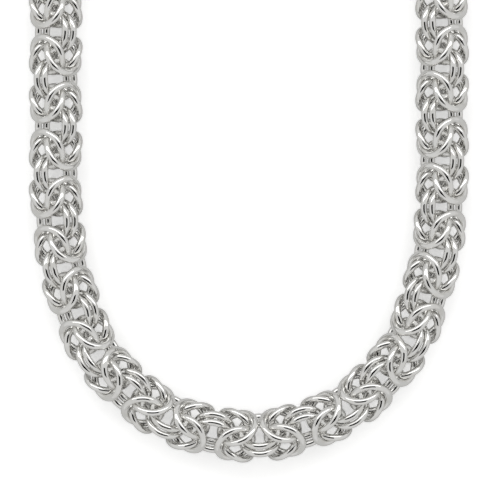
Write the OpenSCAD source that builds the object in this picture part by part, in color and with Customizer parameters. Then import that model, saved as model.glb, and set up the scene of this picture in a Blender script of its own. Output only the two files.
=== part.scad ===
// Byzantine chain necklace of round silver rings, lying closed on a flat surface.
// The surface is z = 0, and the round front of the loop points to -Y.

/* [Wire and rings] */
// Thickness of the wire that every ring is bent from
wire_d = 1.48; // [1.25:0.01:1.5]
// Clear space between neighbouring rings of the weave
ring_gap = 0.12; // [0.12:0.01:0.3]
// Inner width of the two end rings, which hold the clasp
end_ring_in = 8.2; // [8:0.1:8.4]

/* [Weave] */
// Spacing of the knots on the left half of the chain, in ring radii
left_lay = 2.525; // [2.48:0.005:2.6]
// Spacing of the knots on the right half of the chain, in ring radii
right_lay = 2.465; // [2.46:0.005:2.6]

/* [Loop] */
// Length of the closed necklace along its middle line
necklace_len = 457; // [400:1:610]
// Radius of the round front
front_r = 41.3; // [40:0.1:50]
// Radius of the gentle shoulders beside the front
shoulder_r = 86; // [60:1:120]
// Angle that each shoulder turns through
shoulder_turn = 21; // [12:1:40]
// How far the middle pair of rings lies to the right of the loop's foremost point
middle_shift = 2.5; // [-5:0.1:5]

/* [Clasp] */
// Length of the clasp from tip to tip
clasp_len = 27.1; // [26:0.1:31]
// How far inside the tail eye's tip the right end ring's wire lies
eye_depth = 3.3; // [3.2:0.05:3.4]
// How far inside the claw's tip the left end ring's wire lies
claw_depth = 4.5; // [4.4:0.05:4.6]
// Thickness of the bar that the claw is bent from
claw_wire_d = 2.3; // [1.8:0.1:2.6]
// Clear width inside the claw
claw_in = 3.7; // [3.4:0.1:5]
// Length of the claw's straight sides
claw_run = 5.2; // [4:0.1:7]
// Thickness of the wire of the tail eye
eye_wire_d = 1.5; // [1.2:0.1:1.7]
// Clear width inside the tail eye
eye_in = 3.1; // [2.9:0.1:3.6]
// Width of the barrel between the tail eye and the claw
barrel_d = 5.6; // [4:0.1:6]

/* [Hidden] */
silver = [0.80, 0.80, 0.78];
full_turn = 360;

// How each kind of ring lies in the weave. Its centre is so far along, across and up from
// its place, in ring radii, and its plane leans and turns by so many degrees.
// kind       along  across    up   lean   turn
poses = [
    ["upper", 0.046,  0.403, 0.423, 48.3, -24.2],
    ["lower",  0.04,  0.487, 0.516, 43.2, -30.1],
    ["high",      0,  0.205,  0.09,   49,     0],
    ["low",       0, -0.215, -0.09,   49,     0],
    ["end",   0.106,      0,     0,  -31,  -3.8]
];
// The kind of each ring in a knot and in a pair, and how it is turned over in all three ways.
// A knot's lower rings are given as if they lay above its middle, and are turned under it.
knot_parts = [["upper", [1, 1, 1]], ["upper", [-1, -1, 1]], ["lower", [1, -1, -1]], ["lower", [-1, 1, -1]]];
pair_parts = [["high", [1, 1, 1]], ["low", [1, 1, 1]]];
// Least distance between two wires' middle lines in this weave, in ring radii
weave_reach = 0.374;
// The clasp's height over the surface and its place inside the loop's middle line, in ring
// radii. The last part of it changes sides with the way that the end rings lean.
clasp_lift = 0.73;
clasp_inset = 0.03;
clasp_lean = 0.41;
// Clear space between the end rings and the surface
surface_gap = 0.02;

ring_r = (wire_d + ring_gap) / weave_reach;
end_r = (end_ring_in + wire_d) / 2;
end_along = pose("end")[1] * ring_r;

function pose(kind) = [for (p = poses) if (p[0] == kind) p][0];
function centre(p) = ring_r * [p[1], p[2], p[3]];
function axis(p) = [sin(p[5]), cos(p[5]) * cos(p[4]), cos(p[5]) * sin(p[4])];
function times(a, b) = [a.x * b.x, a.y * b.y, a.z * b.z];
// Half the extent along one axis of a ring's middle line, from the matching part of its normal
function reach(r, n) = r * sqrt(1 - n * n);

// The lower rings of the knots touch the surface
middle_z = pose("lower")[3] * ring_r + reach(ring_r, axis(pose("lower")).z) + wire_d / 2;
end_z = reach(end_r, axis(pose("end")).z) + wire_d / 2 + surface_gap;

// The loop's middle line is made of arcs: the round front, the shoulders, straight sides and
// a half circle at the back. Each stretch ends at a distance from the loop's foremost point.
front_turn = 90 - shoulder_turn;
front_end = arc_len(front_r, front_turn);
shoulder_end = front_end + arc_len(shoulder_r, shoulder_turn);
shoulder_c = [0, front_r] + (front_r - shoulder_r) * [sin(front_turn), -cos(front_turn)];
half_w = shoulder_c.x + shoulder_r;
side_end = necklace_len / 2 - arc_len(half_w, 90);
back_c = [0, shoulder_c.y + side_end - shoulder_end];

function arc_len(r, a) = 2 * PI * r * a / full_turn;
function arc_turn(r, s) = full_turn * s / (2 * PI * r);
function on_arc(c, r, heading) = [c.x + r * sin(heading), c.y - r * cos(heading), heading];
// Place and heading on the right half of the loop, s along it from the foremost point
function right_spot(s) =
    s < front_end ? on_arc([0, front_r], front_r, arc_turn(front_r, s)) :
    s < shoulder_end ? on_arc(shoulder_c, shoulder_r, front_turn + arc_turn(shoulder_r, s - front_end)) :
    s < side_end ? [half_w, shoulder_c.y + s - shoulder_end, 90] :
    on_arc(back_c, half_w, 90 + arc_turn(half_w, s - side_end));
function mirrored(spot) = [-spot.x, spot.y, -spot.z];
function spot(s) = s < 0 ? mirrored(right_spot(-s)) : right_spot(s);
function ahead(heading) = [cos(heading), sin(heading), 0];
function outward(heading) = [sin(heading), -cos(heading), 0];
function turned(v, heading) = v.x * ahead(heading) + v.y * outward(heading) + [0, 0, v.z];

// A ring is its centre, the normal of its plane and its radius. It is given by a centre and a
// normal that are measured along, outward and up from the place s on the loop.
function laid(s, c, n, r) =
    let (p = spot(s))
    [[p.x, p.y, 0] + turned(c, p.z), turned(n, p.z), r];

// The units are counted from the middle pair, so that they fill the loop up to the clasp
end_hold = end_r + end_along;
closing_len = end_hold - eye_depth + clasp_len + end_hold - claw_depth;
units = round((necklace_len - closing_len) / (ring_r * (left_lay + right_lay)));
stretch = (necklace_len - closing_len) / (units * ring_r * (left_lay + right_lay));
// An odd number of units ends the chain in the other kind of knot
end_flip = units % 2 == 0 ? 1 : -1;

function unit_place(k) = middle_shift + k * stretch * ring_r * (k > 0 ? right_lay : left_lay);
function unit_rings(k, parts, mirror) = [
    for (part = parts)
        let (p = pose(part[0]), m = times(part[1], mirror))
        laid(unit_place(k), times(centre(p), m) + [0, 0, middle_z], times(axis(p), m), ring_r)
];
// Every second knot is the mirror image along the chain, and every second pair across it
function knot_rings(k) = unit_rings(k, knot_parts, [floor(k) % 2 == 0 ? 1 : -1, 1, 1]);
function pair_rings(k) = unit_rings(k, pair_parts, [1, k % 2 == 0 ? -1 : 1, 1]);
function end_ring(side) =
    let (n = axis(pose("end")))
    laid(unit_place(side * units), [side * end_along, 0, end_z], times(n, [side, end_flip, 1]), end_r);

left_rings = [
    for (k = [0.5 : units]) each knot_rings(-k),
    for (k = [1 : units - 1]) each pair_rings(-k)
];
right_rings = [
    for (k = [0.5 : units]) each knot_rings(k),
    for (k = [0 : units - 1]) each pair_rings(k)
];

// The clasp is straight, so its middle lies a little inside the loop's round back, and the
// leaning end rings carry it to one side and off the surface
clasp_place = unit_place(units) + end_hold - eye_depth + clasp_len / 2;
clasp_spot = spot(clasp_place);
clasp_z = clasp_lift * ring_r;
clasp_in = (clasp_inset + end_flip * clasp_lean) * ring_r;
claw_r = (claw_in + claw_wire_d) / 2;
claw_tip = clasp_len / 2 - claw_wire_d / 2;
claw_c = claw_tip - claw_r - claw_run / 2;
eye_r = (eye_in + eye_wire_d) / 2;
eye_c = -clasp_len / 2 + eye_wire_d / 2 + eye_r;
barrel_from = eye_c + eye_r;
barrel_to = claw_c - claw_run / 2 - claw_r;
barrel_half = (barrel_to - barrel_from) / 2;

// The origin is under the middle of the box round the whole necklace
all_rings = concat(left_rings, right_rings);
box_low = [for (i = [0, 1]) min([for (g = all_rings) g[0][i] - reach(g[2], g[1][i])]) - wire_d / 2];
box_high = [for (i = [0, 1]) max([for (g = all_rings) g[0][i] + reach(g[2], g[1][i])]) + wire_d / 2];
clasp_back = clasp_spot.y - clasp_in + barrel_d / 2;
origin = [(box_low[0] + box_high[0]) / 2, (box_low[1] + max(box_high[1], clasp_back)) / 2, 0];

module wire_ring(ring) {
    n = ring[1];
    translate(ring[0] - origin)
        rotate([0, acos(n.z / norm(n)), atan2(n.y, n.x)])
            rotate_extrude($fn = 96)
                translate([ring[2], 0])
                    circle(d = wire_d, $fn = 24);
}

module chain_left() {
    color(silver) for (ring = left_rings) wire_ring(ring);
}

module chain_right() {
    color(silver) for (ring = right_rings) wire_ring(ring);
}

module end_ring_left() {
    color(silver) wire_ring(end_ring(-1));
}

module end_ring_right() {
    color(silver) wire_ring(end_ring(1));
}

// Half of the claw's round end, bulging towards +X
module claw_end() {
    translate([claw_run / 2, 0, 0])
        rotate([0, 0, -90])
            rotate_extrude(angle = 180, $fn = 96)
                translate([claw_r, 0])
                    circle(d = claw_wire_d, $fn = 32);
}

module claw() {
    claw_end();
    rotate([0, 0, 180]) claw_end();
    for (side = [-1, 1])
        translate([-claw_run / 2, side * claw_r, 0])
            rotate([0, 90, 0])
                cylinder(d = claw_wire_d, h = claw_run, $fn = 32);
}

module tail_eye() {
    rotate_extrude($fn = 96)
        translate([eye_r, 0])
            circle(d = eye_wire_d, $fn = 32);
}

// A spindle of revolution whose tips run out in the eye's and the claw's wire
module barrel() {
    bulge_r = (barrel_half * barrel_half + barrel_d * barrel_d / 4) / barrel_d;
    rotate([0, 90, 0])
        rotate_extrude($fn = 96)
            intersection() {
                translate([barrel_d / 2 - bulge_r, 0]) circle(r = bulge_r, $fn = 128);
                translate([0, -barrel_half]) square([barrel_d, 2 * barrel_half]);
            }
}

module clasp() {
    color(silver)
        translate([clasp_spot.x, clasp_spot.y, clasp_z] - clasp_in * outward(clasp_spot.z) - origin)
            rotate([0, 0, clasp_spot.z]) {
                translate([claw_c, 0, 0]) claw();
                translate([eye_c, 0, 0]) tail_eye();
                translate([(barrel_from + barrel_to) / 2, 0, 0]) barrel();
            }
}

chain_left();
chain_right();
end_ring_left();
end_ring_right();
clasp();
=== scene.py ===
import bpy
import numpy as np
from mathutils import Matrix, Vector


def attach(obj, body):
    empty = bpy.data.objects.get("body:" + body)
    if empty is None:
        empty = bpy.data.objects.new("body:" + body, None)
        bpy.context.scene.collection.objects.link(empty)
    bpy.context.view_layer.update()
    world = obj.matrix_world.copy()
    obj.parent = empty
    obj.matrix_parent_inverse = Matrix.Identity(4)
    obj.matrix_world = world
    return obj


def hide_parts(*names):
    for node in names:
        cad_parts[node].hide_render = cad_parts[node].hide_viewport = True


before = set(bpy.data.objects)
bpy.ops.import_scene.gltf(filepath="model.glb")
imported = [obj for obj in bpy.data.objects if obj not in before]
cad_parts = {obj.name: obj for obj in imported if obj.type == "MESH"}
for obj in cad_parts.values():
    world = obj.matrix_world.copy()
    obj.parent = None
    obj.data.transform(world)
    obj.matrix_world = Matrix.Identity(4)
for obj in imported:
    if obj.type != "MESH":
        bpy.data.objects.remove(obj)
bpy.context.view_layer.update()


# The table under the necklace.
# A smooth white sheet that the necklace lies on. It is lit past white, a little of it from
# below, so that the camera sees only a faint shadow. The metal mirrors it as a dimmer grey.
TABLE_HALF = 3.0
TABLE_PAPER = (1.05, 1.05, 1.05, 1)
TABLE_GLOW = 0.34
TABLE_IN_METAL = (0.70, 0.70, 0.695, 1)

table = bpy.data.objects.new("table", bpy.data.meshes.new("table"))
corners = TABLE_HALF * np.array([[-1, -1, 0], [1, -1, 0], [1, 1, 0], [-1, 1, 0]])
table.data.from_pydata(corners.tolist(), [], [(0, 1, 2, 3)])
bpy.context.scene.collection.objects.link(table)

table_white = bpy.data.materials.new("table_white")
table_white.use_nodes = True
nodes, links = table_white.node_tree.nodes, table_white.node_tree.links
nodes.clear()
paper = nodes.new("ShaderNodeBsdfDiffuse")
paper.inputs["Color"].default_value = TABLE_PAPER
glow = nodes.new("ShaderNodeEmission")
glow.inputs["Strength"].default_value = TABLE_GLOW
lit_paper = nodes.new("ShaderNodeAddShader")
links.new(paper.outputs[0], lit_paper.inputs[0])
links.new(glow.outputs[0], lit_paper.inputs[1])
mirrored = nodes.new("ShaderNodeBsdfDiffuse")
mirrored.inputs["Color"].default_value = TABLE_IN_METAL
path = nodes.new("ShaderNodeLightPath")
seen = nodes.new("ShaderNodeMixShader")
out = nodes.new("ShaderNodeOutputMaterial")
links.new(path.outputs["Is Glossy Ray"], seen.inputs["Fac"])
links.new(lit_paper.outputs[0], seen.inputs[1])
links.new(mirrored.outputs[0], seen.inputs[2])
links.new(seen.outputs[0], out.inputs["Surface"])
table.data.materials.append(table_white)


# The studio round the table.
# A pale tent on all sides, a long soft box above the far side, and a broad dark bar round the
# camera, which the crowns of the wires mirror as thin black streaks beside the white ones.
TENT_GREY = (0.70, 0.70, 0.695, 1)
SOFT_BOX = {"from_deg": 30, "to_deg": 52, "distance": 1.5, "width": 3.6, "watts": 8.0}
DARK_BAR = {"half_x_deg": 26, "from_deg": -29, "to_deg": 8}
BAR_BLACK = (0.002, 0.002, 0.002, 1)
CAMERA_PLACE = (0.00026, -0.0451, 0.85)
LENS_MM = 265.1
SENSOR_MM = 36
CLIP_FROM = 0.01
ON_CHAIN = Vector((0, -0.045, 0.005))

tent = bpy.data.worlds.new("tent")
tent.use_nodes = True
tent.node_tree.nodes["Background"].inputs["Color"].default_value = TENT_GREY
bpy.context.scene.world = tent
bpy.context.scene.view_settings.view_transform = "Standard"

middle_lean = np.radians((SOFT_BOX["from_deg"] + SOFT_BOX["to_deg"]) / 2)
half_span = np.radians((SOFT_BOX["to_deg"] - SOFT_BOX["from_deg"]) / 2)
soft_box = bpy.data.objects.new("soft_box", bpy.data.lights.new("soft_box", "AREA"))
soft_box.data.shape = "RECTANGLE"
soft_box.data.size = SOFT_BOX["width"]
soft_box.data.size_y = 2 * SOFT_BOX["distance"] * np.tan(half_span)
soft_box.data.energy = SOFT_BOX["watts"]
soft_box.visible_camera = False
away = SOFT_BOX["distance"] * Vector((0, np.sin(middle_lean), np.cos(middle_lean)))
soft_box.location = ON_CHAIN + away
soft_box.rotation_mode = "QUATERNION"
soft_box.rotation_quaternion = (-away).to_track_quat("-Z", "Y")
bpy.context.scene.collection.objects.link(soft_box)

dark_bar = bpy.data.objects.new("dark_bar", bpy.data.meshes.new("dark_bar"))
bar_up = CAMERA_PLACE[2] - ON_CHAIN.z
half_x, near_y, far_y = (bar_up * np.tan(np.radians(angle)) for angle in DARK_BAR.values())
corners = np.array([[-half_x, near_y, 0], [-half_x, far_y, 0], [half_x, far_y, 0], [half_x, near_y, 0]])
dark_bar.data.from_pydata((corners + CAMERA_PLACE).tolist(), [], [(0, 1, 2, 3)])
for ray in ("camera", "diffuse", "shadow", "transmission"):
    setattr(dark_bar, "visible_" + ray, False)
bpy.context.scene.collection.objects.link(dark_bar)
bar_black = bpy.data.materials.new("bar_black")
bar_black.use_nodes = True
felt = bar_black.node_tree.nodes["Principled BSDF"]
felt.inputs["Base Color"].default_value = BAR_BLACK
felt.inputs["Specular IOR Level"].default_value = 0.0
dark_bar.data.materials.append(bar_black)

camera = bpy.data.objects.new("camera", bpy.data.cameras.new("camera"))
camera.data.lens = LENS_MM
camera.data.sensor_width = SENSOR_MM
camera.data.clip_start = CLIP_FROM
camera.location = CAMERA_PLACE
bpy.context.scene.collection.objects.link(camera)
bpy.context.scene.camera = camera


# The silver of the whole necklace.
# Sterling silver, drawn to wire, soldered and polished bright. Its surface waves a little
# where it was rubbed, and a thin warm film and dull spots are left in places.
SILVER = (0.87, 0.865, 0.85, 1)
FILM = (0.73, 0.715, 0.68, 1)
FILM_SPOTS = {"per_m": 420, "detail": 4, "bend": 0.4, "from": 0.45, "to": 0.75, "least": 0, "most": 0.55}
DULL_SPOTS = {"per_m": 900, "detail": 5, "bend": 0, "from": 0.4, "to": 0.75, "least": 0.02, "most": 0.08}
WAVES = {"per_m": 750, "detail": 1, "bend": 0, "from": 0, "to": 1, "least": 0, "most": 0.00003}
GRAIN = {"per_m": 5000, "detail": 3, "bend": 0, "from": 0, "to": 1, "least": 0, "most": 0.0000015}

wear = bpy.data.node_groups.new("silver_wear", "ShaderNodeTree")
for label in ("Film", "Roughness", "Height"):
    wear.interface.new_socket(label, in_out="OUTPUT", socket_type="NodeSocketFloat")
nodes, links = wear.nodes, wear.links
place = nodes.new("ShaderNodeTexCoord")
wear_out = nodes.new("NodeGroupOutput")


def spotted(look):
    """A value that goes from its least to its most where a noise on the object's own
    coordinates goes from one level to the other, and that stays at them beyond."""
    noise = nodes.new("ShaderNodeTexNoise")
    noise.inputs["Scale"].default_value = look["per_m"]
    noise.inputs["Detail"].default_value = look["detail"]
    noise.inputs["Distortion"].default_value = look["bend"]
    links.new(place.outputs["Object"], noise.inputs["Vector"])
    spread = nodes.new("ShaderNodeMapRange")
    for socket, value in (("From Min", "from"), ("From Max", "to"), ("To Min", "least"), ("To Max", "most")):
        spread.inputs[socket].default_value = look[value]
    links.new(noise.outputs["Fac"], spread.inputs["Value"])
    return spread.outputs["Result"]


links.new(spotted(FILM_SPOTS), wear_out.inputs["Film"])
links.new(spotted(DULL_SPOTS), wear_out.inputs["Roughness"])
height = nodes.new("ShaderNodeMath")
links.new(spotted(WAVES), height.inputs[0])
links.new(spotted(GRAIN), height.inputs[1])
links.new(height.outputs[0], wear_out.inputs["Height"])

silver = bpy.data.materials.new("polished_silver")
silver.use_nodes = True
nodes, links = silver.node_tree.nodes, silver.node_tree.links
metal = nodes["Principled BSDF"]
metal.inputs["Metallic"].default_value = 1.0
worn = nodes.new("ShaderNodeGroup")
worn.node_tree = wear
tint = nodes.new("ShaderNodeMix")
tint.data_type = "RGBA"
clean_colour, film_colour, mixed_colour = tint.inputs[6], tint.inputs[7], tint.outputs[2]
clean_colour.default_value = SILVER
film_colour.default_value = FILM
bump = nodes.new("ShaderNodeBump")
bump.inputs["Distance"].default_value = 1.0
links.new(worn.outputs["Film"], tint.inputs["Factor"])
links.new(mixed_colour, metal.inputs["Base Color"])
links.new(worn.outputs["Roughness"], metal.inputs["Roughness"])
links.new(worn.outputs["Height"], bump.inputs["Height"])
links.new(bump.outputs["Normal"], metal.inputs["Normal"])


# The two halves of the chain.
# Round rings of sterling silver wire, each closed and soldered, woven four to a knot with a
# pair between two knots, and laid round the loop. The wire is a hair thicker than in the
# solids, which keep their distance, so that the rings all but touch, as in the photograph.
MM = 0.001
WIRE_D = 1.6
RING_R = 4.2781
LEFT_LAY = 10.806
RIGHT_LAY = 10.549
MIDDLE_SHIFT = 2.5
UPPER = {"along": 0.046, "across": 0.403, "up": 0.423, "lean": 48.3, "turn": -24.2}
LOWER = {"along": 0.04, "across": 0.487, "up": 0.516, "lean": 43.2, "turn": -30.1}
HIGH = {"along": 0.0, "across": 0.205, "up": 0.09, "lean": 49.0, "turn": 0.0}
LOW = {"along": 0.0, "across": -0.215, "up": -0.09, "lean": 49.0, "turn": 0.0}
KNOT_PARTS = [(UPPER, (1, 1, 1)), (UPPER, (-1, -1, 1)), (LOWER, (1, -1, -1)), (LOWER, (-1, 1, -1))]
PAIR_PARTS = [(HIGH, (1, 1, 1)), (LOW, (1, 1, 1))]
UNITS = 20
FIRST_KNOT = 0.5
NECKLACE_LEN = 457.0
FRONT_R = 41.3
SHOULDER_R = 86.0
SHOULDER_TURN = np.radians(21)
ORIGIN = np.array([-0.0083, 87.630, 0])
RING_STEPS = 48
WIRE_STEPS = 16

front_turn = np.pi / 2 - SHOULDER_TURN
front_end = FRONT_R * front_turn
shoulder_end = front_end + SHOULDER_R * SHOULDER_TURN
shoulder_x = (FRONT_R - SHOULDER_R) * np.sin(front_turn)
shoulder_y = FRONT_R - (FRONT_R - SHOULDER_R) * np.cos(front_turn)
half_w = shoulder_x + SHOULDER_R
side_end = NECKLACE_LEN / 2 - half_w * np.pi / 2
back_y = shoulder_y + side_end - shoulder_end


def arc(x, y, r, heading):
    """Points and headings on a circle about x and y, at the headings along it."""
    return np.stack([x + r * np.sin(heading), y - r * np.cos(heading), heading])


def route(s):
    """Place and heading at the distances s along the loop's middle line: the round front, a
    shoulder, a straight side and a half circle at the back, mirrored where s is negative."""
    a = np.abs(s)
    front = arc(0, FRONT_R, FRONT_R, a / FRONT_R)
    shoulder = arc(shoulder_x, shoulder_y, SHOULDER_R, front_turn + (a - front_end) / SHOULDER_R)
    straight = np.stack([half_w + 0 * a, shoulder_y + a - shoulder_end, np.pi / 2 + 0 * a])
    back = arc(0, back_y, half_w, np.pi / 2 + (a - side_end) / half_w)
    within = [a < front_end, a < shoulder_end, a < side_end]
    x, y, heading = np.select(within, [front, shoulder, straight], back)
    side = np.where(s < 0, -1, 1)
    return side * x, y, side * heading


def turned(v, heading):
    """Vectors given along, outward and up, turned to the loop's headings."""
    c, s = np.cos(heading), np.sin(heading)
    return np.stack([c * v[:, 0] + s * v[:, 1], s * v[:, 0] - c * v[:, 1], v[:, 2]], 1)


def laid(s, centre, normal):
    """Centres and normals of rings whose units lie at the places s on the loop."""
    x, y, heading = route(s)
    return np.stack([x, y, 0 * x], 1) + turned(centre, heading) - ORIGIN, turned(normal, heading)


def pose(ring):
    """Centre, in ring radii, and normal of a ring that leans about the chain's length and
    turns about the vertical."""
    lean, turn = np.radians(ring["lean"]), np.radians(ring["turn"])
    centre = np.array([ring["along"], ring["across"], ring["up"]])
    return centre, np.array([np.sin(turn), np.cos(turn) * np.cos(lean), np.cos(turn) * np.sin(lean)])


lower_centre, lower_normal = pose(LOWER)
middle_z = RING_R * (lower_centre[2] + np.sqrt(1 - lower_normal[2] ** 2)) + WIRE_D / 2


def unit_place(k):
    """Distance along the loop to the unit k, counted from the middle pair."""
    return MIDDLE_SHIFT + k * np.where(k > 0, RIGHT_LAY, LEFT_LAY)


def unit_rings(k, parts, mirror):
    """Centres and normals of all rings of the units k, each mirrored by its own row."""
    poses = np.array([np.array(pose(ring)) * turns for ring, turns in parts])
    centre, normal = (poses[:, i] * mirror[:, None] for i in (0, 1))
    centre = (RING_R * centre).reshape(-1, 3) + [0, 0, middle_z]
    return laid(np.repeat(unit_place(k), len(parts)), centre, normal.reshape(-1, 3))


def knots(k):
    """A knot lies halfway between two pairs. Every second one is mirrored along the chain."""
    return unit_rings(k, KNOT_PARTS, np.where(np.floor(k)[:, None] % 2 == 0, [1, 1, 1], [-1, 1, 1]))


def pairs(k):
    """Every second pair is mirrored across the chain."""
    return unit_rings(k, PAIR_PARTS, np.where(k[:, None] % 2 == 0, [1, -1, 1], [1, 1, 1]))


def rings(name, centre, normal, ring_r):
    """One object of many rings. A point on a ring is its centre, plus ring_r along a direction
    u in its plane, plus half the wire along cos(b) u + sin(b) normal."""
    normal = normal / np.linalg.norm(normal, axis=1, keepdims=True)
    first = np.cross(normal, [0, 0, 1])
    first = first / np.linalg.norm(first, axis=1, keepdims=True)
    second = np.cross(normal, first)
    a = np.linspace(0, 2 * np.pi, RING_STEPS, endpoint=False)[:, None]
    b = np.linspace(0, 2 * np.pi, WIRE_STEPS, endpoint=False)[:, None]
    u = (np.cos(a) * first[:, None] + np.sin(a) * second[:, None])[:, :, None]
    wire = WIRE_D / 2 * (np.cos(b) * u + np.sin(b) * normal[:, None, None])
    points = MM * (centre[:, None, None] + ring_r * u + wire)
    index = np.arange(points.size // 3).reshape(-1, RING_STEPS, WIRE_STEPS)
    along, round_wire = np.roll(index, -1, 1), np.roll(index, -1, 2)
    quads = np.stack([index, along, np.roll(along, -1, 2), round_wire], -1).reshape(-1, 4)
    mesh = bpy.data.meshes.new(name)
    mesh.vertices.add(points.size // 3)
    mesh.vertices.foreach_set("co", points.ravel())
    mesh.loops.add(quads.size)
    mesh.loops.foreach_set("vertex_index", quads.ravel())
    mesh.polygons.add(len(quads))
    mesh.polygons.foreach_set("loop_start", np.arange(0, quads.size, 4))
    mesh.polygons.foreach_set("use_smooth", np.ones(len(quads), bool))
    mesh.update(calc_edges=True)
    piece = bpy.data.objects.new(name, mesh)
    bpy.context.scene.collection.objects.link(piece)
    return piece


for name, side, first_pair in (("chain_left", -1, 1), ("chain_right", 1, 0)):
    knot_rings = knots(side * np.arange(FIRST_KNOT, UNITS))
    pair_rings = pairs(side * np.arange(first_pair, UNITS))
    centre, normal = (np.concatenate(both) for both in zip(knot_rings, pair_rings))
    half_chain = rings(name + "_rings", centre, normal, RING_R)
    half_chain.data.materials.append(silver)
    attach(half_chain, "root")
    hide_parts(name)


# The two end rings.
# The same wire bent to wider rings. Each one closes the last knot of a half of the chain and
# hangs in the clasp, lying against the surface.
END_IN = 8.08
END = {"along": 0.106, "across": 0.0, "up": 0.0, "lean": -31.0, "turn": -3.8}
END_GAP = 0.02

end_r = (END_IN + WIRE_D) / 2
end_centre, end_normal = pose(END)
end_z = end_r * np.sqrt(1 - end_normal[2] ** 2) + WIRE_D / 2 + END_GAP
for name, side in (("end_ring_left", -1), ("end_ring_right", 1)):
    centre, normal = laid(
        unit_place(np.array([side * UNITS])),
        np.array([[side * end_centre[0] * RING_R, 0, end_z]]),
        np.array([end_normal * [side, 1, 1]]),
    )
    end_ring = rings(name + "_wire", centre, normal, end_r)
    end_ring.data.materials.append(silver)
    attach(end_ring, "root")
    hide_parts(name)


# The clasp.
# One plain cast piece of the same silver: a closed claw, a barrel and a round tail eye. Its
# solid is carried over as it is, because the photograph hides it.
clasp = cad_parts["clasp"]
clasp.data.materials.clear()
clasp.data.materials.append(silver)
